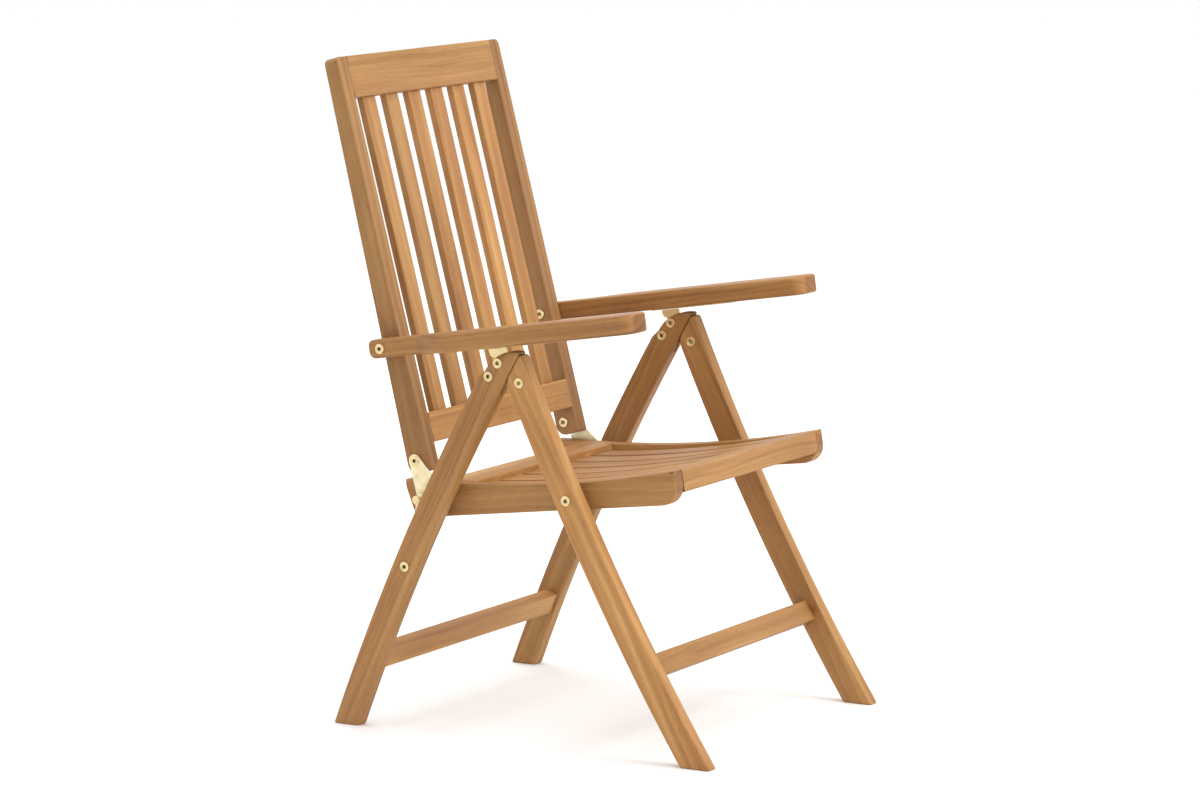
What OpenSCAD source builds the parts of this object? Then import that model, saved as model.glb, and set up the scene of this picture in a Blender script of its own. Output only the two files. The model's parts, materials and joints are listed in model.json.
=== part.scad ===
// Folding armchair with a reclining slatted back.
// Side views are drawn in a (y, z) plane whose origin is on the floor below the leg pivots.

/* [Legs] */
// Width over the outer faces of the legs
leg_span = 570; // [540:1:620]
// Thickness of a leg across the chair
leg_t = 24; // [22:0.5:28]
// Width of a leg seen from the side
leg_w = 44; // [40:1:48]
// Height of the leg pivots above the floor
pivot_z = 574; // [565:1:585]
// Lean of the front legs at their pivots, from vertical
front_lean = 23.8; // [23:0.1:24.6]
// Lean of the rear legs at their heads, from vertical
rear_lean = 30; // [29.5:0.1:30.5]
// Radius of the legs' bow
bow_r = 4000; // [3500:50:6000]
// Distance from the leg pivot to the rear leg's centreline, along the floor
rear_set = 51.2; // [51:0.1:52]

/* [Seat] */
// Width over the seat's side rails
seat_w = 488; // [486:1:488]
// Thickness of the seat's side rails
rail_t = 24; // [20:1:26]
// Number of seat slats
seat_slats = 6; // [6:1:6]
// Gap between seat slats
seat_gap = 14; // [10:1:20]
// Thickness of a seat slat
seat_slat_t = 14; // [12:1:16]

/* [Back] */
// Thickness of a back stile across the chair
stile_t = 30; // [26:1:34]
// Height of the top of the back
back_top_z = 1061; // [1000:1:1100]
// Width of a back slat
back_slat_w = 36; // [30:1:40]
// Spacing of the back slats
back_pitch = 66.5; // [62:0.5:70]
// Thickness of a back slat
back_slat_t = 12; // [10:1:14]

/* [Arms] */
// Widest part of an arm
arm_w = 60; // [50:1:65]
// Width of an arm at its pivot
arm_neck_w = 26.5; // [24:0.5:30]
// Thickness of an arm
arm_t = 30; // [26:1:30]
// Rise of the arms towards the front, in degrees
arm_tilt = 8.84; // [8:0.1:9.5]
// Length of an arm in front of its pivot
arm_reach = 481; // [460:1:500]

/* [Hardware] */
// Diameter of a bolt head
head_d = 16.5; // [14:0.5:18]
// Thickness of a bolt head
head_t = 1.7; // [1.4:0.1:2]
// Outer diameter of a barrel nut's sleeve
sleeve_d = 8; // [7:0.5:9]
// Thickness of the hinge plates
hinge_t = 4; // [3:0.5:4]
// Thickness of the seat's corner plates
plate_t = 3; // [2.5:0.5:3]

/* [Hidden] */

// Colours of the materials
teak = "#b5834f";
teak_light = "#c6955f";
brass = "#d8c98a";

// Side-view y of the middle of the whole chair, which is the model's origin
y_mid = 22.5;

// Running clearance between a sleeve and its hole, on the radius
run_gap = 0.05;
// Small gap between parts that meet in one body
fit_gap = 0.1;
// Gap that keeps moving wooden faces apart
move_gap = 0.34;

// Places across the chair, measured from its middle
leg_out = leg_span / 2;
leg_in = leg_out - leg_t;
leg_mid = leg_out - leg_t / 2;
rail_out = seat_w / 2;
rail_in = rail_out - rail_t;
stile_out = rail_out;
stile_in = stile_out - stile_t;
plate_out = rail_out + plate_t;
arm_in = rail_out + 5;
arm_neck_out = arm_in + arm_neck_w;
link_in = rail_out + 6.3;
link_out = link_in + 3;

// Pivots in the side view
leg_pivot = [0, pivot_z];
front_centre = leg_pivot + bow_r * [-cos(front_lean), sin(front_lean)];
rear_head = [rear_set, pivot_z];
rear_centre = rear_head + bow_r * [-cos(rear_lean), -sin(rear_lean)];
function front_angle(s) = front_lean + s / bow_r * 180 / PI;
function rear_angle(s) = rear_lean - s / bow_r * 180 / PI;
// A point s down the front leg and d behind its centreline
function front_at(s, d = 0) = front_centre
    + (bow_r + d) * [cos(front_angle(s)), -sin(front_angle(s))];
// A point s down the rear leg and d behind its centreline
function rear_at(s, d = 0) = rear_centre + (bow_r + d) * [cos(rear_angle(s)), sin(rear_angle(s))];

seat_pivot = front_at(196);
link_pivot = rear_at(347);
seat_link_pivot = [200, 371];
back_pivot = [215.9, 429.5];
arm_pivot = [261.5, 608];
plate_bolts = [[38.6, 602.4], [55.3, 580.5]];

// Screws that hold the corner plates on the seat rails
corner_screws = [[192, 394], [168, 380], [177, 363]];
screw_r = 2;
screw_len = 16;
// Radius of the headed pins that carry the links
pin_r = 2.75;

// Circles that shape the leg heads
head_r = 43;
rear_head_centre = [6.5, 559];
rear_head_r = 63.2;
// Distance from the leg pivot to the front leg's bevel, and the line across it
bevel = leg_w / 2;
bevel_angle = rear_lean;

// Stretchers: distance down the leg, width along it, thickness, and offset behind the centreline
front_bar = [482, 35, 24, 7];
rear_bar = [512, 36, 22, -5.5];
tenon_len = 14;

// Seat profile
seat_r = 1963;
seat_low = [200.9, 398.7];
seat_centre = seat_low + [0, seat_r];
seat_front_y = -203;
seat_rear_y = 126;
slat_front = [seat_front_y, 440];
slat_rear = [seat_rear_y, 391];
slat_centre = arc_centre(slat_rear, slat_front, seat_r);
seat_slat_w = (2 * rail_in - (seat_slats + 1) * seat_gap) / seat_slats;
tongue_len = 8;
tongue_t = 6;

// Back profile: the stile's front and rear lines, as y at a height and its slope
front_line = [204.8, 480, 0.2663];
rear_line = [250, 500, 0.2412];
function on_line(l, z) = [l[0] + (z - l[1]) * l[2], z];
back_angle = atan(front_line[2]);
back_rail_t = 22;
slat_recess = 7;
// Heights of the back's rails, measured on the front line
bottom_rail_z = [457, 503];
top_rail_z = [back_top_z - 65, back_top_z];
// Rounding of the back's outer top corners, seen from the front
back_corner = 10;

// Arm rail: y range of the strip and of its groove, in the side view
arm_rail_y = [-105, 101];
arm_rail_w = 12;
arm_rail_proud = 2;
arm_rail_depth = 3;

// Centre of the circle of radius r through p and q, above the line that joins them
function arc_centre(p, q, r) = let (d = q - p, l = norm(d))
    (p + q) / 2 + sqrt(r * r - l * l / 4) * [d[1], -d[0]] / l * (d[0] < 0 ? 1 : -1);

// Corner i of the outline pts, rounded to radius r with n steps
function round_corner(pts, i, r, n) = let (
    c = len(pts),
    p = pts[i],
    u = unit(pts[(i + c - 1) % c] - p),
    v = unit(pts[(i + 1) % c] - p),
    half = acos(max(-1, min(1, u * v))) / 2,
    mid = unit(u + v),
    o = p + mid * r / sin(half),
    p0 = p + u * r / tan(half) - o,
    p1 = p + v * r / tan(half) - o,
    a0 = atan2(p0[1], p0[0]),
    sweep = wrap(atan2(p1[1], p1[0]) - a0)
) [for (k = [0:n]) o + r * [cos(a0 + sweep * k / n), sin(a0 + sweep * k / n)]];
function unit(v) = v / norm(v);
function wrap(a) = a > 180 ? a - 360 : a < -180 ? a + 360 : a;
// The outline pts with its corners rounded to the radii rs
function rounded(pts, rs, n = 8) = [
    for (i = [0:len(pts) - 1]) each rs[i] > 0 ? round_corner(pts, i, rs[i], n) : [pts[i]]
];

// A side-view outline made solid from x0 to x1
module side(x0, x1) {
    translate([x0, -y_mid, 0]) rotate([90, 0, 90]) linear_extrude(x1 - x0) children();
}

// Children drawn around a side-view point
module put(p) {
    translate([0, p[0] - y_mid, p[1]]) children();
}

// Children drawn on both sides of the chair
module both() {
    children();
    mirror([1, 0, 0]) children();
}

// A round bar along X
module bar(x0, x1, r) {
    translate([x0, 0, 0]) rotate([0, 90, 0]) cylinder(h = x1 - x0, r = r, $fn = 48);
}

// A hexagonal key socket along X
module socket(x0, x1) {
    translate([x0, 0, 0]) rotate([0, 90, 0]) cylinder(h = x1 - x0, d = 6.9, $fn = 6);
}

// A bolt head between x0 and x1, with its rim on the x1 side chamfered
module bolt_head(x0, x1) {
    chamfer = 0.6;
    translate([x0, 0, 0]) rotate([0, 90, 0]) rotate_extrude($fn = 48) polygon([
        [0, 0], [head_d / 2, 0], [head_d / 2, abs(x1 - x0) - chamfer],
        [head_d / 2 - chamfer, abs(x1 - x0)], [0, abs(x1 - x0)]
    ]);
}

// Length of a screw's thick shoulder below its head
shoulder = 5;

// Barrel nut from x0 to x1 with its head outside x1
module barrel(x0, x1, t = head_t) {
    difference() {
        union() {
            bar(x0 + shoulder + 0.2, x1 + 0.1, sleeve_d / 2);
            bolt_head(x1, x1 + t);
        }
        bar(x0, x1 - 3, sleeve_d / 2 - 1);
        socket(x1 - 1.5, x1 + t + 1);
    }
}

// Screw from x0 to x1 with its head outside x0
module screw(x0, x1, t = head_t) {
    difference() {
        union() {
            bar(x0 - 0.1, x0 + shoulder, sleeve_d / 2);
            bar(x0, x1 - 4, sleeve_d / 2 - 1.03);
            mirror([1, 0, 0]) bolt_head(-x0, -x0 + t);
        }
        socket(x0 - t - 1, x0 + 1.5);
    }
}

// A hole through wood for a barrel nut, along X
module bolt_hole(p, x0, x1) {
    put(p) bar(x0 - 1, x1 + 1, sleeve_d / 2 + run_gap);
}

// Outline of a leg's two bowed edges
module bowed(centre) {
    difference() {
        translate(centre) circle(r = bow_r + leg_w / 2, $fn = 1440);
        translate(centre) circle(r = bow_r - leg_w / 2, $fn = 1440);
    }
}

// Half plane in front of a line that is d from the leg pivot, facing the angle a
module in_front(d, a) {
    translate(leg_pivot) rotate(a) translate([d - 1000, -1000]) square([1000, 2000]);
}

// The corner between a bevel and the rear edge, outside the circle that they both touch
module swept_corner(r, a0, a1) {
    translate(leg_pivot) difference() {
        polygon([[0, 0], 80 * [cos(a0), sin(a0)], 80 * [cos(a1), sin(a1)]]);
        circle(r = r, $fn = 96);
    }
}

module front_leg_outline() {
    intersection() {
        bowed(front_centre);
        difference() {
            in_front(bevel, bevel_angle);
            swept_corner(bevel - 0.1, -front_lean, bevel_angle);
        }
        union() {
            polygon([[-460, 0], [-200, 0], [55, 549.8], [-55, 598.2]]);
            translate(leg_pivot) circle(r = head_r, $fn = 96);
        }
    }
}

// Room in the front leg's head for the hinge plate to turn
module front_slot() {
    translate(leg_pivot) {
        circle(r = 13, $fn = 64);
        rotate(-front_lean) polygon([[-12.5, 0], [-12.5, 60], [60, 60], [60, -42], [-5, -11.7]]);
    }
}

module rear_leg_outline() {
    tip_y = 1;
    difference() {
        intersection() {
            union() {
                bowed(rear_centre);
                translate([tip_y, 600]) square([75, 40]);
            }
            union() {
                polygon([[200, 0], [460, 0], [92, 561], [60, 591], [30, 560]]);
                intersection() {
                    translate(rear_head_centre) circle(r = rear_head_r, $fn = 96);
                    translate([tip_y, 552]) square([200, 100]);
                }
            }
        }
        intersection() {
            translate(leg_pivot) circle(r = head_r + move_gap + 0.06, $fn = 96);
            in_front(bevel + move_gap, bevel_angle);
        }
    }
}

// Saw cut in the rear leg's head for the hinge plate
module rear_slot() {
    polygon([[20, 550.5], [110, 572], [110, 660], [-5, 660], [-5, 640]]);
}

// A stretcher's cross-section, grown by g
module bar_section(p, angle, w, t, g = 0) {
    translate(p) rotate(angle) square([t + 2 * g, w + 2 * g], center = true);
}
module front_bar_section(w, t, g = 0) {
    bar_section(front_at(front_bar[0], front_bar[3]), -front_angle(front_bar[0]), w, t, g);
}
module rear_bar_section(w, t, g = 0) {
    bar_section(rear_at(rear_bar[0], rear_bar[3]), rear_angle(rear_bar[0]), w, t, g);
}

module rear_leg() {
    color(teak) difference() {
        side(leg_in, leg_out) rear_leg_outline();
        side(leg_mid - hinge_t / 2 - fit_gap, leg_mid + hinge_t / 2 + fit_gap) rear_slot();
        for (p = plate_bolts) bolt_hole(p, leg_in, leg_out);
        bolt_hole(link_pivot, leg_in, leg_out);
        side(leg_in - 1, leg_in + tenon_len + 0.5)
            rear_bar_section(rear_bar[1] - 12, rear_bar[2] - 10, fit_gap);
    }
}

module front_leg() {
    color(teak) difference() {
        side(leg_in, leg_out) front_leg_outline();
        side(leg_mid - hinge_t / 2 - 0.3, leg_mid + hinge_t / 2 + 0.3) front_slot();
        bolt_hole(leg_pivot, leg_in, leg_out);
        bolt_hole(seat_pivot, leg_in, leg_out);
        side(leg_in - 1, leg_in + tenon_len + 0.5)
            front_bar_section(front_bar[1] - 12, front_bar[2] - 10, fit_gap);
    }
}

module rear_stretcher() {
    color(teak) {
        side(-leg_in, leg_in) rear_bar_section(rear_bar[1], rear_bar[2]);
        side(-leg_in - tenon_len, leg_in + tenon_len)
            rear_bar_section(rear_bar[1] - 12, rear_bar[2] - 10);
    }
}

module front_stretcher() {
    color(teak) {
        side(-leg_in, leg_in) front_bar_section(front_bar[1], front_bar[2]);
        side(-leg_in - tenon_len, leg_in + tenon_len)
            front_bar_section(front_bar[1] - 12, front_bar[2] - 10);
    }
}

// Hinge plate: an arm to the leg pivot and a tongue that stands up under the arm
module hinge_plate() {
    tongue_centre = [36, pivot_z + 52];
    color(brass) difference() {
        side(leg_mid - hinge_t / 2, leg_mid + hinge_t / 2) {
            translate(leg_pivot) circle(r = 12, $fn = 64);
            for (p = plate_bolts) translate(p) circle(r = 10, $fn = 64);
            polygon([
                leg_pivot + [-7, 9.7], [26, 612], [30, 625.9], [61, 621.2], [52, 611],
                [48.5, 601.5], [64, 575], [53.5, 570.7], leg_pivot + [1.5, -11.9]
            ]);
            intersection() {
                translate(tongue_centre) circle(r = 25.6, $fn = 96);
                polygon([[28, 610], [30, 625.9], [70, 619.7], [70, 610]]);
            }
        }
        for (p = plate_bolts) bolt_hole(p, leg_in, leg_out);
        bolt_hole(leg_pivot, leg_in, leg_out);
    }
}

module plate_bolt_barrels() {
    color(brass) both() for (p = plate_bolts) put(p) barrel(leg_in, leg_out);
}
module plate_bolt_screws() {
    color(brass) both() for (p = plate_bolts) put(p) screw(leg_in, leg_out);
}
module leg_pivot_barrels() {
    color(brass) both() put(leg_pivot) barrel(leg_in, leg_out);
}
module leg_pivot_screws() {
    color(brass) both() put(leg_pivot) screw(leg_in, leg_out);
}
module seat_pivot_barrels() {
    color(brass) both() put(seat_pivot) barrel(rail_in, leg_out);
}
module seat_pivot_screws() {
    color(brass) both() put(seat_pivot) screw(rail_in, leg_out);
}
module seat_pivot_spacers() {
    color(brass) both() put(seat_pivot) difference() {
        bar(rail_out + 0.3, leg_in, 7);
        bar(rail_out - 1, leg_in + 1, sleeve_d / 2 + run_gap);
    }
}
// The link bolts end just short of the links, whose lower eyes are free
link_bolt_in = link_out + 2;
module link_bolt_barrels() {
    color(brass) both() put(link_pivot) barrel(link_bolt_in, leg_out);
}
module link_bolt_screws() {
    color(brass) both() put(link_pivot) screw(link_bolt_in, leg_out, 1.4);
}
module link_spacers() {
    color(brass) both() put(link_pivot) difference() {
        bar(link_bolt_in, leg_in, 8);
        bar(link_bolt_in - 1, leg_in + 1, sleeve_d / 2 + run_gap);
    }
}

// Outline of a seat side rail: a hollow top, a straight bottom and rounded ends
module seat_rail_outline() {
    difference() {
        polygon(rounded(
            [[-246, 480], [-252, 450.9], [-259.5, 399.7], [200, 340], [216, 340], [235, 388], [235, 480]],
            [0, 0, 28, 0, 20, 22, 0]
        ));
        translate(seat_centre) circle(r = seat_r, $fn = 1440);
    }
}

// Cross rails of the seat, and their tenons grown by g
module seat_front_section() {
    front_face = [-252, 450.9];
    polygon([[seat_front_y, 440.3], front_face, [-257.4, 418], [-256, 415.5], [seat_front_y, 408]]);
}
module seat_rear_section() {
    difference() {
        polygon([[seat_rear_y, 374], [180, 368], [180, 420], [seat_rear_y, 420]]);
        translate(seat_centre) circle(r = seat_r, $fn = 1440);
    }
}
module seat_front_tenon(g = 0) {
    translate([-229, 430]) rotate(-11) square([28 + 2 * g, 12 + 2 * g], center = true);
}
module seat_rear_tenon(g = 0) {
    translate([153, 384]) rotate(-5) square([28 + 2 * g, 12 + 2 * g], center = true);
}

module seat_rail() {
    color(teak_light) difference() {
        side(rail_in, rail_out) seat_rail_outline();
        bolt_hole(seat_pivot, rail_in, rail_out);
        side(rail_in - 1, rail_in + tenon_len + 0.5) seat_front_tenon(fit_gap);
        side(rail_in - 1, rail_in + tenon_len + 0.5) seat_rear_tenon(fit_gap);
        for (p = corner_screws) put(p) bar(rail_out - screw_len - 1, rail_out + 1, screw_r);
    }
}

// Outline of a seat slat between two y values, from depth d0 to depth d1 below its top
module seat_slat_outline(y0, y1, d0, d1) {
    intersection() {
        difference() {
            translate(slat_centre) circle(r = seat_r + d1, $fn = 1440);
            translate(slat_centre) circle(r = seat_r + d0, $fn = 1440);
        }
        translate([y0, 300]) square([y1 - y0, 200]);
    }
}

function seat_slat_x(i) = -rail_in + seat_gap + (i - 1) * (seat_slat_w + seat_gap);

// Tongue of seat slat i, grown by g
module seat_slat_tongue(i, g = 0) {
    inset = 5;
    side(seat_slat_x(i) + inset - g, seat_slat_x(i) + seat_slat_w - inset + g)
        seat_slat_outline(seat_front_y - tongue_len - g, seat_rear_y + tongue_len + g,
            seat_slat_t - 4 - tongue_t - g, seat_slat_t - 4 + g);
}

module seat_slat(i) {
    color(teak_light) {
        side(seat_slat_x(i), seat_slat_x(i) + seat_slat_w)
            seat_slat_outline(seat_front_y, seat_rear_y, 0, seat_slat_t);
        seat_slat_tongue(i);
    }
}

module seat_front_rail() {
    color(teak_light) difference() {
        union() {
            side(-rail_in, rail_in) seat_front_section();
            side(-rail_in - tenon_len, rail_in + tenon_len) seat_front_tenon();
        }
        for (i = [1:seat_slats]) seat_slat_tongue(i, fit_gap);
    }
}

module seat_rear_rail() {
    color(teak_light) difference() {
        union() {
            side(-rail_in, rail_in) seat_rear_section();
            side(-rail_in - tenon_len, rail_in + tenon_len) seat_rear_tenon();
        }
        both() for (p = corner_screws) put(p) bar(rail_out - screw_len - 1, rail_out + 1, screw_r);
        for (i = [1:seat_slats]) seat_slat_tongue(i, fit_gap);
    }
}

module corner_plate() {
    color(brass) difference() {
        side(rail_out, plate_out) {
            translate(back_pivot) circle(r = 10.5, $fn = 64);
            translate(seat_link_pivot) circle(r = 11, $fn = 64);
            polygon([
                [207.9, 436.2], [185, 411], [158, 391], [156, 374], [170, 356], [182, 353],
                [203.5, 360.6], [210.8, 370], [226, 426.8]
            ]);
        }
        bolt_hole(back_pivot, rail_out, plate_out);
        for (p = corner_screws) put(p) translate([plate_out, 0, 0]) rotate([0, -90, 0])
            translate([0, 0, -0.05]) cylinder(h = plate_t + 0.1, r1 = 4.1, r2 = screw_r, $fn = 32);
    }
}
module corner_plate_screws() {
    color(brass) both() for (p = corner_screws) put(p) {
        bar(rail_out - screw_len, rail_out + 0.1, screw_r);
        translate([plate_out, 0, 0]) rotate([0, -90, 0])
            cylinder(h = plate_t, r1 = 4, r2 = screw_r, $fn = 32);
    }
}
module link_pins() {
    color(brass) both() put(seat_link_pivot) {
        bar(plate_out, plate_out + 19.2, pin_r);
        bar(plate_out + 19, plate_out + 21.5, 7);
    }
}

module link() {
    color(brass) side(link_in, link_out) difference() {
        d = unit(seat_link_pivot - link_pivot);
        n = [-d[1], d[0]] * 9;
        union() {
            translate(link_pivot) circle(r = 9, $fn = 64);
            translate(seat_link_pivot) circle(r = 9, $fn = 64);
            polygon([link_pivot + n, link_pivot - n, seat_link_pivot - n, seat_link_pivot + n]);
        }
        translate(link_pivot) circle(r = sleeve_d / 2 + run_gap, $fn = 48);
        translate(seat_link_pivot) circle(r = pin_r + run_gap, $fn = 48);
    }
}

module back_pivot_barrels() {
    color(brass) both() put(back_pivot) barrel(stile_in, plate_out, 1.2);
}
module back_pivot_screws() {
    color(brass) both() put(back_pivot) screw(stile_in, plate_out);
}

module stile_outline() {
    low = 415;
    polygon(rounded(
        [on_line(front_line, low + 0.5), on_line(rear_line, low - 11),
         on_line(rear_line, back_top_z - 6.4), on_line(front_line, back_top_z)],
        [4, 17, 0, 0]
    ));
}

// A strip behind the stile's front line between two heights, from depth d0 to depth d1
module back_section(z0, z1, d0, d1) {
    u = [sin(back_angle), cos(back_angle)];
    n = [cos(back_angle), -sin(back_angle)];
    p0 = on_line(front_line, z0);
    p1 = on_line(front_line, z1);
    polygon([p0 + n * d0, p1 + n * d0, p1 + n * d1, p0 + n * d1]);
}

module back_rail(z) {
    color(teak) difference() {
        union() {
            side(-stile_in, stile_in) back_section(z[0], z[1], 0, back_rail_t);
            side(-stile_in - tenon_len, stile_in + tenon_len)
                back_section(z[0] + 8, z[1] - 8, 6, back_rail_t - 6);
        }
        for (i = [1:6]) back_slat_tongue(i, fit_gap);
    }
}
module back_top_rail() {
    back_rail(top_rail_z);
}

module back_bottom_rail() {
    back_rail(bottom_rail_z);
}

// What is taken off a stile's outer top corner. The arc runs a little past both faces.
module back_corner_cut() {
    past = 0.6;
    near = back_corner + 0.05;
    beyond = back_corner + 1;
    arc = [for (a = [5:10:85]) back_corner * [cos(a), -sin(a)]];
    ends = [[-past, -near], [-past, -beyond], [beyond, -beyond], [beyond, past], [near, past]];
    put(on_line(front_line, back_top_z)) rotate([-back_angle, 0, 0])
        translate([stile_out - back_corner, -5, -back_corner]) rotate([-90, 0, 0])
            linear_extrude(45) polygon(concat(arc, ends));
}

module back_stile() {
    color(teak) difference() {
        side(stile_in, stile_out) stile_outline();
        back_corner_cut();
        bolt_hole(back_pivot, stile_in, stile_out);
        bolt_hole(arm_pivot, stile_in, stile_out);
        for (z = [bottom_rail_z, top_rail_z]) side(stile_in - 1, stile_in + tenon_len + 0.5)
            back_section(z[0] + 8 - fit_gap, z[1] - 8 + fit_gap, 6 - fit_gap, back_rail_t - 6 + fit_gap);
    }
}

function back_slat_x(i) = (i - 3.5) * back_pitch - back_slat_w / 2;

// Tongue of back slat i, grown by g
module back_slat_tongue(i, g = 0) {
    side(back_slat_x(i) + 4 - g, back_slat_x(i) + back_slat_w - 4 + g)
        back_section(bottom_rail_z[1] - 10 - g, top_rail_z[0] + 10 + g,
            slat_recess + 3 - g, slat_recess + back_slat_t - 3 + g);
}
module back_slat(i) {
    color(teak) {
        side(back_slat_x(i), back_slat_x(i) + back_slat_w)
            back_section(bottom_rail_z[1], top_rail_z[0], slat_recess, slat_recess + back_slat_t);
        back_slat_tongue(i);
    }
}

module arm_pivot_barrels() {
    color(brass) both() put(arm_pivot) barrel(stile_in, arm_neck_out);
}
module arm_pivot_screws() {
    color(brass) both() put(arm_pivot) screw(stile_in, arm_neck_out);
}
module arm_washers() {
    color(brass) both() put(arm_pivot) difference() {
        bar(stile_out, arm_in - 0.3, 9);
        bar(stile_out - 1, arm_in + 1, sleeve_d / 2 + run_gap);
    }
}

// Plan of an arm: d runs forward from the pivot, w across from the inner face
arm_flare = [55, 150];
function flare(t) = arm_neck_w + (arm_w - arm_neck_w) * (1 - cos(180 * t)) / 2;
module arm_plan() {
    corner = 22;
    outline = concat(
        [[0, -30], [arm_neck_w, -30]],
        [for (t = [0:0.05:1]) [flare(t), arm_flare[0] + t * (arm_flare[1] - arm_flare[0])]],
        [for (a = [0:10:90]) [arm_w - corner + corner * cos(a), arm_reach - corner + corner * sin(a)]],
        [for (a = [90:10:180]) [corner + corner * cos(a), arm_reach - corner + corner * sin(a)]]
    );
    polygon(outline);
}

// Children drawn with +Y back along the arm from its pivot and +Z up through it
module arm_frame() {
    put(arm_pivot) rotate([-arm_tilt, 0, 0]) children();
}

// Distance forward of the arm pivot, along the arm, of a point at side-view y
function along_arm(y) = (arm_pivot[0] - y) / cos(arm_tilt);

// The groove and the brass rail under an arm
module arm_strip(y0, y1, z0, z1, w) {
    translate([leg_mid - w / 2, -along_arm(y0), z0]) cube([w, along_arm(y0) - along_arm(y1), z1 - z0]);
}
module arm() {
    heel = 21.5;
    color(teak) difference() {
        arm_frame() intersection() {
            translate([arm_in, 0, -arm_t]) mirror([0, 1, 0]) linear_extrude(2 * arm_t) arm_plan();
            translate([arm_in - 1, 0, 0]) rotate([90, 0, 90]) linear_extrude(arm_w + 2) polygon(rounded(
                [[heel, -arm_t / 2], [heel, arm_t / 2], [-arm_reach - 1, arm_t / 2],
                 [-arm_reach - 1, -arm_t / 2]],
                [11, 9, 0, 0]
            ));
        }
        bolt_hole(arm_pivot, arm_in, arm_neck_out);
        arm_frame() arm_strip(arm_rail_y[0] - 1, arm_rail_y[1] + 1, -arm_t / 2 - 1,
            -arm_t / 2 + arm_rail_depth, arm_rail_w + 0.4);
        arm_frame() for (d = rail_screws)
            translate([leg_mid, -d, -arm_t / 2]) cylinder(h = 16, r = 1.75, $fn = 32);
    }
}

// How far in front of the arm pivot the screws of the brass rail stand
rail_screws = [along_arm(92), along_arm(-96)];

module arm_rail() {
    color(brass) difference() {
        arm_frame() {
            arm_strip(-74, 80, -arm_t / 2 - arm_rail_proud, -arm_t / 2 + arm_rail_depth, arm_rail_w);
            arm_strip(arm_rail_y[0], arm_rail_y[1], -arm_t / 2, -arm_t / 2 + arm_rail_depth, arm_rail_w);
        }
        arm_frame() for (d = rail_screws) translate([leg_mid, -d, -arm_t / 2 - 0.05])
            cylinder(h = arm_rail_depth + 0.1, r1 = 3.5, r2 = 1.8, $fn = 32);
    }
}
module arm_rail_screws() {
    color(brass) arm_frame() for (d = rail_screws) translate([leg_mid, -d, -arm_t / 2]) {
        cylinder(h = 2.6, r1 = 3.4, r2 = 1.7, $fn = 32);
        cylinder(h = 15, r = 1.7, $fn = 32);
    }
}

rear_leg();  // rear_leg_left
mirror([1, 0, 0]) rear_leg();  // rear_leg_right
rear_stretcher();
hinge_plate();  // hinge_plate_left
mirror([1, 0, 0]) hinge_plate();  // hinge_plate_right
plate_bolt_barrels();
plate_bolt_screws();
link_bolt_barrels();
link_bolt_screws();
link_spacers();
front_leg();  // front_leg_left
mirror([1, 0, 0]) front_leg();  // front_leg_right
front_stretcher();
leg_pivot_barrels();
leg_pivot_screws();
seat_pivot_barrels();
seat_pivot_screws();
seat_pivot_spacers();
seat_rail();  // seat_rail_left
mirror([1, 0, 0]) seat_rail();  // seat_rail_right
seat_front_rail();
seat_rear_rail();
seat_slat(1);  // seat_slat_1
seat_slat(2);  // seat_slat_2
seat_slat(3);  // seat_slat_3
seat_slat(4);  // seat_slat_4
seat_slat(5);  // seat_slat_5
seat_slat(6);  // seat_slat_6
corner_plate();  // corner_plate_left
mirror([1, 0, 0]) corner_plate();  // corner_plate_right
corner_plate_screws();
link_pins();
link();  // link_left
mirror([1, 0, 0]) link();  // link_right
back_pivot_barrels();
back_pivot_screws();
back_stile();  // back_stile_left
mirror([1, 0, 0]) back_stile();  // back_stile_right
back_top_rail();
back_bottom_rail();
back_slat(1);  // back_slat_1
back_slat(2);  // back_slat_2
back_slat(3);  // back_slat_3
back_slat(4);  // back_slat_4
back_slat(5);  // back_slat_5
back_slat(6);  // back_slat_6
arm_pivot_barrels();
arm_pivot_screws();
arm_washers();
arm();  // arm_left
mirror([1, 0, 0]) arm();  // arm_right
arm_rail();  // arm_rail_left
mirror([1, 0, 0]) arm_rail();  // arm_rail_right
arm_rail_screws();  // arm_rail_screws_left
mirror([1, 0, 0]) arm_rail_screws();  // arm_rail_screws_right
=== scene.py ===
"""The looks of a folding teak armchair with brass fittings.

Rounded wooden pieces, oiled teak, brushed brass, floor, light and camera.
"""

import json
import math

import bmesh
import bpy
import numpy as np
from mathutils import Euler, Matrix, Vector
from mathutils.geometry import delaunay_2d_cdt


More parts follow.
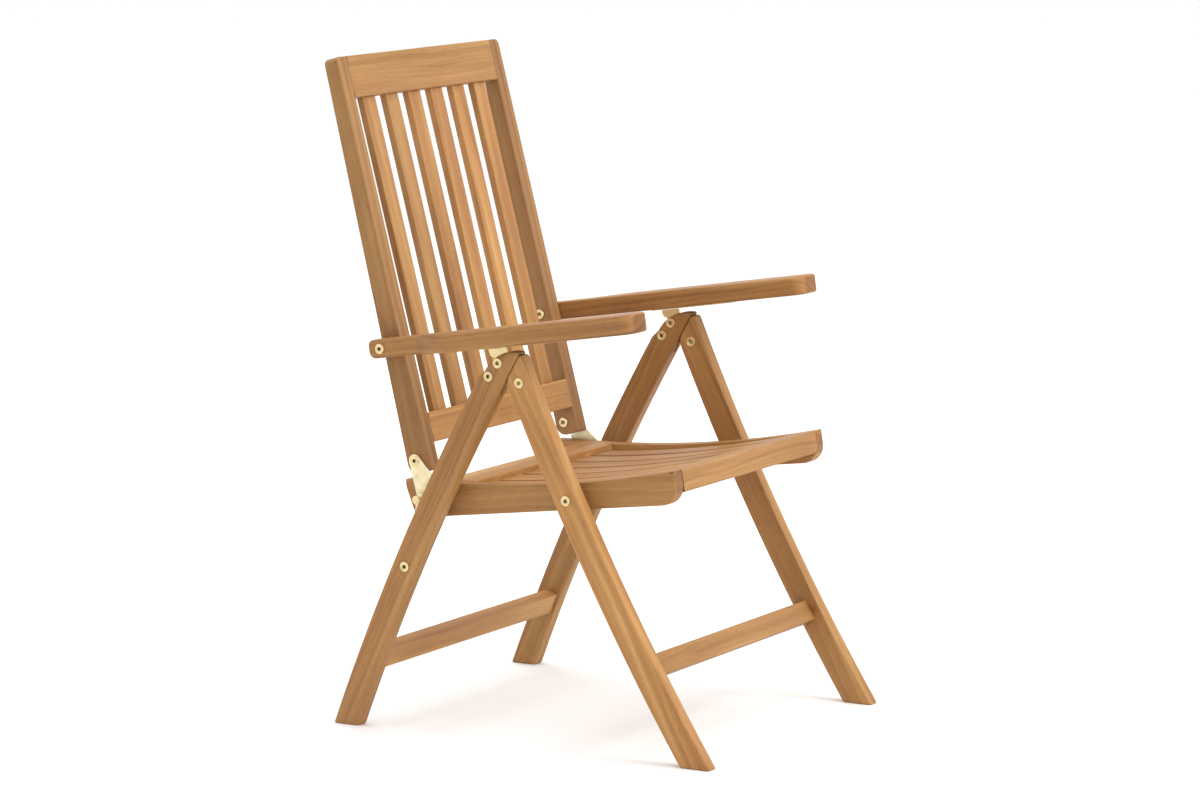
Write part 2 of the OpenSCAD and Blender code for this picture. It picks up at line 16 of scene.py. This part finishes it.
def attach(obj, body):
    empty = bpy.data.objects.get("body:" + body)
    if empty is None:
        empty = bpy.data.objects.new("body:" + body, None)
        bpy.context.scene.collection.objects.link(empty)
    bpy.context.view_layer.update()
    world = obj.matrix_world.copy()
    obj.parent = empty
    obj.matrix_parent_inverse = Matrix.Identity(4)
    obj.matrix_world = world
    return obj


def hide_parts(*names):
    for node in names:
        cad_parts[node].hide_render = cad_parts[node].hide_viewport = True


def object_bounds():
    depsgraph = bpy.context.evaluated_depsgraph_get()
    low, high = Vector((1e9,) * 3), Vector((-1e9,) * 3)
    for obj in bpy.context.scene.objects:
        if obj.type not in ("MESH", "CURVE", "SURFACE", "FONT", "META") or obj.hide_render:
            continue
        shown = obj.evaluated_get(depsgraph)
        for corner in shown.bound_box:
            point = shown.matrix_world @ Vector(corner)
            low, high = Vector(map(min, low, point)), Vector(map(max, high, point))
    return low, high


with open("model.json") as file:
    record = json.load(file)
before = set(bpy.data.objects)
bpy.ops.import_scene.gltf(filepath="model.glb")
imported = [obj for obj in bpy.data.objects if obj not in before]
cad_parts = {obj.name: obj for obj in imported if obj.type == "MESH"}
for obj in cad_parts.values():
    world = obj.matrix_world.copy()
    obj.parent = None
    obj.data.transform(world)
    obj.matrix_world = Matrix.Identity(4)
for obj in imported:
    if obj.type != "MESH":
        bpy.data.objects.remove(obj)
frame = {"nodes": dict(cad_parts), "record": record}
CAD_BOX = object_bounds()

NODE_BODY = {
    node: body
    for body, nodes in frame["record"]["behaviour"]["bodies"].items()
    for node in nodes
}

# --- limits for cleaning and rounding a mesh, in metres and radians ---

MM = 0.001
# Corners of the CAD mesh closer than this are one corner
WELD = 0.03 * MM
# Faces that turn less than this are melted into one
FLAT_ANGLE = math.radians(0.05)
# How far a face may rise out of a flat region, and the least cosine of its turn
FLAT_RISE = 0.004 * MM
FLAT_TURN = 0.9
SAME_POINT = 1e-9
# An edge this sharp is a corner of the wood; one over the other limit stays crisp
CREASE_ANGLE = math.radians(28)
SHARP_ANGLE = math.radians(35)
LONG_EDGE = 14 * MM
ROUND_STEPS = 4
ROUND_MARK = "round"
NORMAL_WEIGHT = 100

# --- how far edges are rounded, and each wooden piece's rounding and slot ---

LEG_ROUND = 3.4 * MM
FRAME_ROUND = 2.4 * MM
RAIL_ROUND = 2.0 * MM
SLAT_ROUND = 1.6 * MM
ARM_ROUND = 4.0 * MM
BRASS_ROUND = 0.35 * MM
SHEET_ROUND = 0.3 * MM

WOOD = {
    "rear_leg_left": (LEG_ROUND, "teak"),
    "rear_leg_right": (LEG_ROUND, "teak"),
    "rear_stretcher": (RAIL_ROUND, "teak"),
    "front_leg_left": (LEG_ROUND, "teak"),
    "front_leg_right": (LEG_ROUND, "teak"),
    "front_stretcher": (RAIL_ROUND, "teak"),
    "seat_rail_left": (FRAME_ROUND, "teak_seat"),
    "seat_rail_right": (FRAME_ROUND, "teak_seat"),
    "seat_front_rail": (FRAME_ROUND, "teak_seat"),
    "seat_rear_rail": (RAIL_ROUND, "teak_seat"),
    "back_stile_left": (FRAME_ROUND, "teak"),
    "back_stile_right": (FRAME_ROUND, "teak"),
    "back_top_rail": (FRAME_ROUND, "teak"),
    "back_bottom_rail": (RAIL_ROUND, "teak"),
    "arm_left": (ARM_ROUND, "teak"),
    "arm_right": (ARM_ROUND, "teak"),
}
for number in range(1, 7):
    WOOD[f"seat_slat_{number}"] = (SLAT_ROUND, "teak_slats")
    WOOD[f"back_slat_{number}"] = (SLAT_ROUND, "teak_slats")

SHEET_NODES = (
    "corner_plate_left",
    "corner_plate_right",
    "link_left",
    "link_right",
    "arm_rail_left",
    "arm_rail_right",
)

# --- making a rounded copy of a CAD node ---


def long_axis(mesh):
    """The direction a piece is longest in, from its faces' middles and areas."""
    places = np.array([face.center for face in mesh.polygons])
    areas = np.array([face.area for face in mesh.polygons])
    middle = np.average(places, axis=0, weights=areas)
    spread = (places - middle) * areas[:, None]
    values, vectors = np.linalg.eigh(spread.T @ (places - middle))
    return Vector(vectors[:, int(np.argmax(values))]).normalized()


def clean(mesh):
    """Joins the mesh's split corners and melts the flat faces' triangles together."""
    work = bmesh.new()
    work.from_mesh(mesh)
    bmesh.ops.remove_doubles(work, verts=work.verts, dist=WELD)
    bmesh.ops.dissolve_limit(
        work,
        angle_limit=FLAT_ANGLE,
        verts=work.verts,
        edges=work.edges,
    )
    return work


def is_corner(edge):
    """Whether two faces meet at a real corner along an edge."""
    return len(edge.link_faces) == 2 and edge.calc_face_angle(0) > CREASE_ANGLE


def loops_of(rim):
    """The closed loops that a region's outline edges form, as lists of edges."""
    left = set(rim)
    loops = []
    for first in rim:
        if first not in left:
            continue
        left.remove(first)
        loop = [first]
        front = [first]
        while front:
            for vert in front.pop().verts:
                for edge in set(vert.link_edges) & left:
                    left.remove(edge)
                    loop.append(edge)
                    front.append(edge)
        loops.append(loop)
    return loops


def rim_of(region):
    """The edges that bound one flat region, in a fixed order."""
    sides = sorted({e for f in region for e in f.edges}, key=lambda e: e.index)
    return [e for e in sides if len(region & set(e.link_faces)) == 1]


def reach(loop):
    """The diagonal of the box round a loop of edges."""
    places = np.array([vert.co for edge in loop for vert in edge.verts])
    return float(np.linalg.norm(places.max(axis=0) - places.min(axis=0)))


def choose_edges(work):
    """Marks the edges to round: outer corners, and not holes, mortises or shoulders."""
    work.edges.index_update()
    mark = work.edges.layers.int.new(ROUND_MARK)
    for edge in work.edges:
        edge[mark] = int(is_corner(edge) and edge.is_convex)
    for region in flat_regions(work):
        loops = sorted(loops_of(rim_of(region)), key=reach)
        holes = [edge for loop in loops[:-1] for edge in loop]
        shoulder = any(is_corner(edge) and not edge.is_convex for edge in holes)
        for edge in holes + (loops[-1] if shoulder else []):
            edge[mark] = 0


def split_long(work):
    """Cuts long edges into steps, so that no later triangle is a long sliver."""
    for edge in list(work.edges):
        steps = int(edge.calc_length() / LONG_EDGE) + 1
        vert = edge.verts[0]
        for step in range(steps, 1, -1):
            _, vert = bmesh.utils.edge_split(edge, vert, 1.0 / step)


def flat_regions(work):
    """The sets of touching faces that lie in one plane, the largest first."""
    order = sorted(work.faces, key=lambda face: -face.calc_area())
    left = set(order)
    for seed in order:
        if seed not in left:
            continue
        left.remove(seed)
        region = {seed}
        front = [seed]
        while front:
            near = {f for e in front.pop().edges for f in e.link_faces} & left
            for face in near:
                start = seed.verts[0].co
                rise = max(abs((v.co - start).dot(seed.normal)) for v in face.verts)
                if rise < FLAT_RISE and face.normal.dot(seed.normal) > FLAT_TURN:
                    left.remove(face)
                    region.add(face)
                    front.append(face)
        yield region


def inside(point, edges):
    """Whether a flat point lies inside a set of closed outlines."""
    crossings = 0
    for first, second in edges:
        if (first.y > point.y) == (second.y > point.y):
            continue
        share = (point.y - first.y) / (second.y - first.y)
        if point.x < first.x + share * (second.x - first.x):
            crossings += 1
    return crossings % 2 == 1


def kept_triangles(places, triangles, pairs, outline):
    """The triangles inside the outlines, found by crossing them one by one."""
    walls = {frozenset(pair) for pair in pairs}
    beside = {}
    for number, (a, b, c) in enumerate(triangles):
        for side in (frozenset((a, b)), frozenset((b, c)), frozenset((c, a))):
            beside.setdefault(side, []).append(number)

    def size(number):
        a, b, c = (places[i] for i in triangles[number])
        return abs((b - a).cross(c - a))

    start = max(range(len(triangles)), key=size)
    middle = sum((places[i] for i in triangles[start]), Vector((0, 0))) / 3
    state = {start: inside(middle, outline)}
    front = [start]
    while front:
        number = front.pop()
        a, b, c = triangles[number]
        for side in (frozenset((a, b)), frozenset((b, c)), frozenset((c, a))):
            for other in beside[side]:
                if other not in state:
                    state[other] = state[number] != (side in walls)
                    front.append(other)
    return [triangles[number] for number, kept in sorted(state.items()) if kept]


def mesh_flat(work, region):
    """Gives one flat region well-shaped triangles in place of its faces."""
    normal = max(region, key=lambda face: face.calc_area()).normal.copy()
    turn = normal.rotation_difference(Vector((0, 0, 1)))
    rim = rim_of(region)
    verts = sorted({vert for edge in rim for vert in edge.verts}, key=lambda v: v.index)
    index = {vert: number for number, vert in enumerate(verts)}
    flat = [(turn @ vert.co).to_2d() for vert in verts]
    pairs = [(index[e.verts[0]], index[e.verts[1]]) for e in rim]
    outline = [(flat[a], flat[b]) for a, b in pairs]
    made = delaunay_2d_cdt(flat, pairs, [], 0, SAME_POINT)
    places, triangles, origins = made[0], made[2], made[3]
    if len(places) != len(verts):
        return
    order = [verts[origin[0]] for origin in origins]
    back = {origin[0]: number for number, origin in enumerate(origins)}
    pairs = [(back[a], back[b]) for a, b in pairs]
    bmesh.ops.delete(work, geom=list(region), context="FACES_KEEP_BOUNDARY")
    for triangle in kept_triangles(places, triangles, pairs, outline):
        corners = [order[i] for i in triangle]
        if work.faces.get(corners) is None:
            work.faces.new(corners).normal_update()


def remesh_flats(work):
    """Meshes again every flat region of several faces or of more than four sides."""
    split_long(work)
    work.verts.index_update()
    work.edges.index_update()
    for region in list(flat_regions(work)):
        if len(region) > 1 or len(next(iter(region)).verts) > 4:
            mesh_flat(work, region)
    bmesh.ops.recalc_face_normals(work, faces=work.faces)


def round_edges(work, radius):
    """Rounds the marked edges."""
    mark = work.edges.layers.int[ROUND_MARK]
    edges = [edge for edge in work.edges if edge[mark]]
    bmesh.ops.bevel(
        work,
        geom=edges,
        offset=radius,
        offset_type="OFFSET",
        segments=ROUND_STEPS,
        profile=0.5,
        affect="EDGES",
        clamp_overlap=False,
        loop_slide=False,
        miter_outer="SHARP",
        miter_inner="SHARP",
    )


def shade(mesh):
    """Smooth shading that keeps the corners over SHARP_ANGLE crisp."""
    for face in mesh.polygons:
        face.use_smooth = True
    mesh.set_sharp_from_angle(angle=SHARP_ANGLE)


def weigh_normals(piece):
    """Large faces keep flat shading, so only the rounded edges turn the light."""
    modifier = piece.modifiers.new("weighted", "WEIGHTED_NORMAL")
    modifier.mode = "FACE_AREA"
    modifier.weight = NORMAL_WEIGHT
    modifier.keep_sharp = True


def rounded(node, radius, slot, suffix):
    """A copy of a CAD node with rounded edges, which stands for it."""
    source = frame["nodes"][node]
    mesh = bpy.data.meshes.new(node + suffix)
    work = clean(source.data)
    choose_edges(work)
    remesh_flats(work)
    round_edges(work, radius)
    work.to_mesh(mesh)
    work.free()
    shade(mesh)
    piece = bpy.data.objects.new(node + suffix, mesh)
    bpy.context.scene.collection.objects.link(piece)
    weigh_normals(piece)
    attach(piece, NODE_BODY[node])
    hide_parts(node)
    return piece


# --- small tools for writing a material ---


class Graph:
    """Adds nodes to one material and joins them."""

    def __init__(self, name):
        self.material = bpy.data.materials.new(name)
        self.material.use_nodes = True
        self.tree = self.material.node_tree
        self.shader = self.tree.nodes["Principled BSDF"]

    def add(self, kind, **settings):
        node = self.tree.nodes.new(kind)
        for key, value in settings.items():
            setattr(node, key, value)
        return node

    def put(self, value, socket):
        """Joins a socket to an input, or sets the input to a constant."""
        if isinstance(value, bpy.types.NodeSocket):
            self.tree.links.new(value, socket)
        else:
            socket.default_value = value

    def maths(self, operation, first, second=0.0, third=0.0):
        node = self.add("ShaderNodeMath", operation=operation)
        for value, socket in zip((first, second, third), node.inputs):
            self.put(value, socket)
        return node.outputs[0]

    def vector(self, operation, first, second):
        node = self.add("ShaderNodeVectorMath", operation=operation)
        self.put(first, node.inputs[0])
        self.put(second, node.inputs[1])
        return node.outputs["Vector"]

    def scaled(self, point, scale):
        return self.vector("MULTIPLY", point, scale)

    def noise(self, point, scale=1.0, detail=2.0, rough=0.5, output="Fac"):
        node = self.add("ShaderNodeTexNoise")
        self.put(point, node.inputs["Vector"])
        node.inputs["Scale"].default_value = scale
        node.inputs["Detail"].default_value = detail
        node.inputs["Roughness"].default_value = rough
        return node.outputs[output]

    def ramp(self, value, stops):
        """A colour ramp. Each stop is a position and a grey level or a colour."""
        node = self.add("ShaderNodeValToRGB")
        elements = node.color_ramp.elements
        while len(elements) < len(stops):
            elements.new(0.5)
        for element, (position, colour) in zip(elements, stops):
            element.position = position
            grey = isinstance(colour, float)
            element.color = (colour, colour, colour, 1) if grey else (*colour, 1)
        self.put(value, node.inputs["Fac"])
        return node.outputs["Color"]

    def mix(self, amount, first, second, blend="MIX"):
        node = self.add("ShaderNodeMix", data_type="RGBA", blend_type=blend)
        self.put(amount, node.inputs["Factor"])
        self.put(first, node.inputs["A"])
        self.put(second, node.inputs["B"])
        return node.outputs["Result"]

    def bump(self, height, strength, distance, normal=None):
        node = self.add("ShaderNodeBump")
        node.inputs["Strength"].default_value = strength
        node.inputs["Distance"].default_value = distance
        self.put(height, node.inputs["Height"])
        if normal is not None:
            self.put(normal, node.inputs["Normal"])
        return node.outputs["Normal"]

    def end(self, colour, roughness, normal):
        self.put(colour, self.shader.inputs["Base Color"])
        self.put(roughness, self.shader.inputs["Roughness"])
        self.put(normal, self.shader.inputs["Normal"])
        return self.material


# --- teak ---

TEAK_STOPS = (
    (0.00, (0.125, 0.042, 0.010)),
    (0.22, (0.222, 0.092, 0.024)),
    (0.45, (0.325, 0.152, 0.043)),
    (0.70, (0.410, 0.214, 0.068)),
    (1.00, (0.520, 0.315, 0.120)),
)
PINK = (0.370, 0.165, 0.066, 1)
END_TONE = (0.66, 0.58, 0.50, 1)
WORN_TONE = (1.12, 1.10, 1.06, 1)
PORE_TONE = 0.60

# How often each part of the figure repeats in a metre: across twice, then along the grain
WANDER_PITCH = (7, 7, 2.4)
STREAK_PITCH = (42, 42, 1.8)
FIBRE_PITCH = (620, 620, 11)
PORE_PITCH = (1300, 1300, 42)
CLOUD_PITCH = (8, 8, 3.0)
HUE_PITCH = (14, 14, 1.2)
RING_PITCH = 120.0

# How far the rings wander, and how much they narrow along the piece
WANDER = 0.030
RING_TAPER = (1, 1, 0.02)
# What keeps two pieces from showing the same cut: the shift for each step of the seed
SEED_STEP = (0.31, 0.17, 0.53)

# What each part adds to the colour's level, and how the sum is spread over the ramp
RING_SHARE = 0.50
STREAK_SHARE = 0.52
FIBRE_SHARE = 0.20
CLOUD_SHARE = 0.42
LEVEL_BASE = -0.02
LEVEL_GAIN = 1.40
LEVEL_SHIFT = -0.60


def grain_place(g, place, axis, seed):
    """The piece's own coordinates, turned so that Z runs along the grain."""
    turn = axis.rotation_difference(Vector((0, 0, 1))).to_euler()
    mapping = g.add("ShaderNodeMapping", vector_type="POINT")
    g.put(place.outputs["Object"], mapping.inputs["Vector"])
    mapping.inputs["Rotation"].default_value = turn
    mapping.inputs["Location"].default_value = [step * seed for step in SEED_STEP]
    return mapping.outputs["Vector"]


def growth_rings(g, bent, seed, pith):
    """Rings round a pith line that lies beside the piece."""
    centre = (pith[0] - SEED_STEP[0] * seed, pith[1] - SEED_STEP[1] * seed, 0)
    flat = g.scaled(g.vector("ADD", bent, centre), RING_TAPER)
    distance = g.add("ShaderNodeVectorMath", operation="LENGTH")
    g.put(flat, distance.inputs[0])
    rings = g.add("ShaderNodeTexNoise", noise_dimensions="1D")
    g.put(distance.outputs["Value"], rings.inputs["W"])
    rings.inputs["Scale"].default_value = RING_PITCH
    rings.inputs["Detail"].default_value = 4
    rings.inputs["Roughness"].default_value = 0.62
    return rings.outputs["Fac"]


def end_grain(g, place, axis):
    """One where a face looks along the grain, and nought on the sides."""
    facing = g.add("ShaderNodeVectorMath", operation="DOT_PRODUCT")
    g.put(place.outputs["Normal"], facing.inputs[0])
    facing.inputs[1].default_value = axis
    square = g.maths("ABSOLUTE", facing.outputs["Value"])
    return g.ramp(square, ((0.80, 0.0), (0.97, 1.0)))


def teak(name, axis, seed, tone, pith):
    """Oiled teak with its grain along one axis of the piece.

    The rings lie round a pith line beside the piece, so a wide face cuts
    them into arches and a narrow one into straight lines.
    """
    g = Graph(name)
    place = g.add("ShaderNodeTexCoord")
    along = grain_place(g, place, axis, seed)
    slow = g.noise(g.scaled(along, WANDER_PITCH), detail=2.5, output="Color")
    centred = g.vector("SUBTRACT", slow, (0.5, 0.5, 0.5))
    bent = g.vector("ADD", along, g.scaled(centred, (WANDER, WANDER, 0)))

    rings = growth_rings(g, bent, seed, pith)
    streaks = g.noise(g.scaled(along, STREAK_PITCH), detail=3, rough=0.6)
    fibres = g.noise(g.scaled(bent, FIBRE_PITCH), detail=3, rough=0.65)
    pores = g.noise(g.scaled(bent, PORE_PITCH), detail=1)
    clouds = g.noise(g.scaled(along, CLOUD_PITCH), detail=2)
    hue = g.noise(g.scaled(along, HUE_PITCH), detail=1)

    level = g.maths("MULTIPLY_ADD", rings, RING_SHARE, LEVEL_BASE)
    level = g.maths("MULTIPLY_ADD", streaks, STREAK_SHARE, level)
    level = g.maths("MULTIPLY_ADD", fibres, FIBRE_SHARE, level)
    level = g.maths("MULTIPLY_ADD", clouds, CLOUD_SHARE, level)
    level = g.maths("MULTIPLY_ADD", level, LEVEL_GAIN, LEVEL_SHIFT)
    colour = g.ramp(level, TEAK_STOPS)
    colour = g.mix(g.ramp(hue, ((0.48, 0.0), (0.78, 0.40))), colour, PINK)

    pore_line = g.ramp(pores, ((0.28, 0.0), (0.40, 1.0)))
    pore_tone = g.ramp(pore_line, ((0.0, PORE_TONE), (1.0, 1.0)))
    colour = g.mix(0.8, colour, pore_tone, "MULTIPLY")

    end_colour = g.mix(1.0, colour, END_TONE, "MULTIPLY")
    colour = g.mix(end_grain(g, place, axis), colour, end_colour)

    form = g.add("ShaderNodeNewGeometry")
    worn = g.ramp(form.outputs["Pointiness"], ((0.51, 0.0), (0.58, 1.0)))
    worn = g.maths("MULTIPLY", worn, clouds)
    colour = g.mix(worn, colour, g.mix(1.0, colour, WORN_TONE, "MULTIPLY"))

    tint = g.add("ShaderNodeHueSaturation")
    tint.inputs["Value"].default_value = tone
    g.put(colour, tint.inputs["Color"])

    rough = g.maths("MULTIPLY_ADD", fibres, 0.22, 0.40)
    rough = g.maths("MULTIPLY_ADD", clouds, 0.10, rough)
    grain = g.bump(fibres, 0.22, 0.25 * MM)
    normal = g.bump(pore_line, 0.30, 0.15 * MM, grain)
    g.shader.inputs["Specular IOR Level"].default_value = 0.36
    return g.end(tint.outputs["Color"], rough, normal)


# --- brass ---

# Turned brass (bolts and pins) and rolled brass (plates, links, arm rails)
BRASS_LIGHT = (0.830, 0.660, 0.360)
BRASS_DARK = (0.560, 0.410, 0.190)
SHEET_LIGHT = (0.820, 0.730, 0.480)
SHEET_DARK = (0.620, 0.500, 0.270)
TURNED_ROUGHNESS = 0.20
SHEET_ROUGHNESS = 0.26
# How far a hollow looks for walls that shade it, and the painted shade colour put inside
# it
SOCKET_REACH = 4.0 * MM
SOCKET_PAINTED_SHADE = (0.020, 0.015, 0.010, 1)
SCRATCH_PITCH = (2600, 420, 420)
CROSS_PITCH = (380, 380, 2400)


def brass(name, light, dark, rough):
    """Bare brass: tarnish in patches, fine scratches, and painted shade that darkens the
    key sockets.
    """
    g = Graph(name)
    point = g.add("ShaderNodeTexCoord").outputs["Object"]
    tarnish = g.noise(point, scale=90, detail=5, rough=0.62)
    fine = g.noise(g.scaled(point, SCRATCH_PITCH), detail=2)
    cross = g.noise(g.scaled(point, CROSS_PITCH), detail=2)
    scratch = g.maths("MULTIPLY", fine, cross)
    patches = g.ramp(tarnish, ((0.36, 0.0), (0.70, 1.0)))
    colour = g.mix(patches, (*light, 1), (*dark, 1))
    form = g.add("ShaderNodeNewGeometry")
    worn = g.ramp(form.outputs["Pointiness"], ((0.52, 0.0), (0.62, 1.0)))
    colour = g.mix(worn, colour, (*light, 1))
    # Painted shade: an occlusion mask darkens the key sockets and other hollows to a
    # near-black tone
    hollow = g.add("ShaderNodeAmbientOcclusion", samples=6, only_local=True)
    hollow.inputs["Distance"].default_value = SOCKET_REACH
    socket_painted_shade = g.ramp(hollow.outputs["AO"], ((0.62, 1.0), (0.90, 0.0)))
    colour = g.mix(socket_painted_shade, colour, SOCKET_PAINTED_SHADE)
    roughness = g.maths("MULTIPLY_ADD", tarnish, 0.20, rough)
    roughness = g.maths("MULTIPLY_ADD", scratch, 0.25, roughness)
    g.shader.inputs["Metallic"].default_value = 1.0
    return g.end(colour, roughness, g.bump(scratch, 0.25, 0.06 * MM))


# --- the object ---

# How light each piece of wood is: in turn, but for the pieces named below
TONES = (1.00, 0.93, 1.08, 0.97, 1.12, 0.90, 1.04)
PIECE_TONES = {
    "back_stile_left": 0.78,
    "back_stile_right": 0.80,
    "back_top_rail": 0.89,
    "seat_rail_right": 0.88,
    "rear_leg_right": 0.91,
    "rear_leg_left": 0.88,
}


def pith_of(index):
    """Where the pith lies beside a piece, so that the figure differs from cut to cut."""
    return (0.03 + 0.013 * (index % 5), 0.05 + 0.011 * (index % 7))


def make_wood():
    """Every wooden piece, each with its own cut of teak."""
    for index, (node, (radius, slot)) in enumerate(WOOD.items()):
        piece = rounded(node, radius, slot, ".wood")
        axis = long_axis(piece.data)
        tone = PIECE_TONES.get(node, TONES[index % len(TONES)])
        wood = teak("teak_" + node, axis, index + 1, tone, pith_of(index))
        piece.data.materials.append(wood)


def make_brass():
    """Bolts, pins, plates and links in brass. The hinge plates keep their CAD shape."""
    turned = brass("brass_turned", BRASS_LIGHT, BRASS_DARK, TURNED_ROUGHNESS)
    sheet = brass("brass_sheet", SHEET_LIGHT, SHEET_DARK, SHEET_ROUGHNESS)
    for node in NODE_BODY:
        if node in WOOD:
            continue
        if node.startswith("hinge_plate"):
            plate = frame["nodes"][node].data
            plate.materials.clear()
            plate.materials.append(turned)
        elif node in SHEET_NODES:
            piece = rounded(node, SHEET_ROUND, "brass_sheet", ".brass")
            piece.data.materials.append(sheet)
        else:
            piece = rounded(node, BRASS_ROUND, "brass", ".brass")
            piece.data.materials.append(turned)


# --- floor, light and camera ---

FLOOR_SIZE = 60.0
FLOOR_TONE = (0.86, 0.86, 0.855, 1)


def make_floor():
    """A plain pale floor with a trace of unevenness."""
    mesh = bpy.data.meshes.new("floor")
    half = FLOOR_SIZE / 2
    corners = [(-half, -half, 0), (half, -half, 0), (half, half, 0), (-half, half, 0)]
    mesh.from_pydata(corners, [], [(0, 1, 2, 3)])
    floor = bpy.data.objects.new("floor", mesh)
    bpy.context.scene.collection.objects.link(floor)
    g = Graph("floor_paint")
    point = g.add("ShaderNodeTexCoord").outputs["Object"]
    soft = g.noise(point, scale=2, detail=3)
    rough = g.maths("MULTIPLY_ADD", soft, 0.1, 0.75)
    g.shader.inputs["Specular IOR Level"].default_value = 0.1
    mesh.materials.append(g.end(FLOOR_TONE, rough, g.bump(soft, 0.02, MM)))


WORLD_STRENGTH = 1.16
# Each soft box's name, place in metres, size in metres and power in watts
LIGHTS = (
    ("key", (0.4, -4.4, 3.6), 2.6, 150),
    ("back", (2.6, 3.4, 3.2), 2.4, 40),
    ("top", (0.0, 0.0, 4.5), 3.0, 40),
)


def make_world(strength):
    """An even white surround."""
    world = bpy.data.worlds.new("studio")
    world.use_nodes = True
    sky = world.node_tree.nodes["Background"]
    sky.inputs["Color"].default_value = (1, 1, 1, 1)
    sky.inputs["Strength"].default_value = strength
    bpy.context.scene.world = world


def make_light(name, place, aim, size, power):
    """A square soft box that looks at a point."""
    data = bpy.data.lights.new(name, "AREA")
    data.shape = "SQUARE"
    data.size = size
    data.energy = power
    light = bpy.data.objects.new(name, data)
    light.location = place
    away = Vector(place) - Vector(aim)
    light.rotation_euler = away.to_track_quat("Z", "Y").to_euler()
    bpy.context.scene.collection.objects.link(light)


CAMERA_PLACE = (-6.1906, -3.6051, 1.5809)
CAMERA_YAW = -59.8
CAMERA_PITCH = 8.46
CAMERA_LENS = 135.82
CAMERA_SHIFT = (-0.0003, -0.00359)
SENSOR_WIDTH = 36.0
VIEW_END = 100.0


def make_camera():
    """A long lens from the sitter's front right, a little above the back's top."""
    data = bpy.data.cameras.new("camera")
    data.lens = CAMERA_LENS
    data.sensor_width = SENSOR_WIDTH
    data.shift_x, data.shift_y = CAMERA_SHIFT
    data.clip_end = VIEW_END
    camera = bpy.data.objects.new("camera", data)
    camera.location = CAMERA_PLACE
    tilt = math.radians(90 - CAMERA_PITCH)
    camera.rotation_euler = Euler((tilt, 0, math.radians(CAMERA_YAW)))
    bpy.context.scene.collection.objects.link(camera)
    bpy.context.scene.camera = camera


bpy.context.scene.view_settings.view_transform = "Standard"
make_camera()
make_world(WORLD_STRENGTH)
make_floor()
middle = (0, 0, 0.5 * CAD_BOX[1][2])
for name, place, size, power in LIGHTS:
    make_light(name, place, middle, size, power)
make_wood()
make_brass()
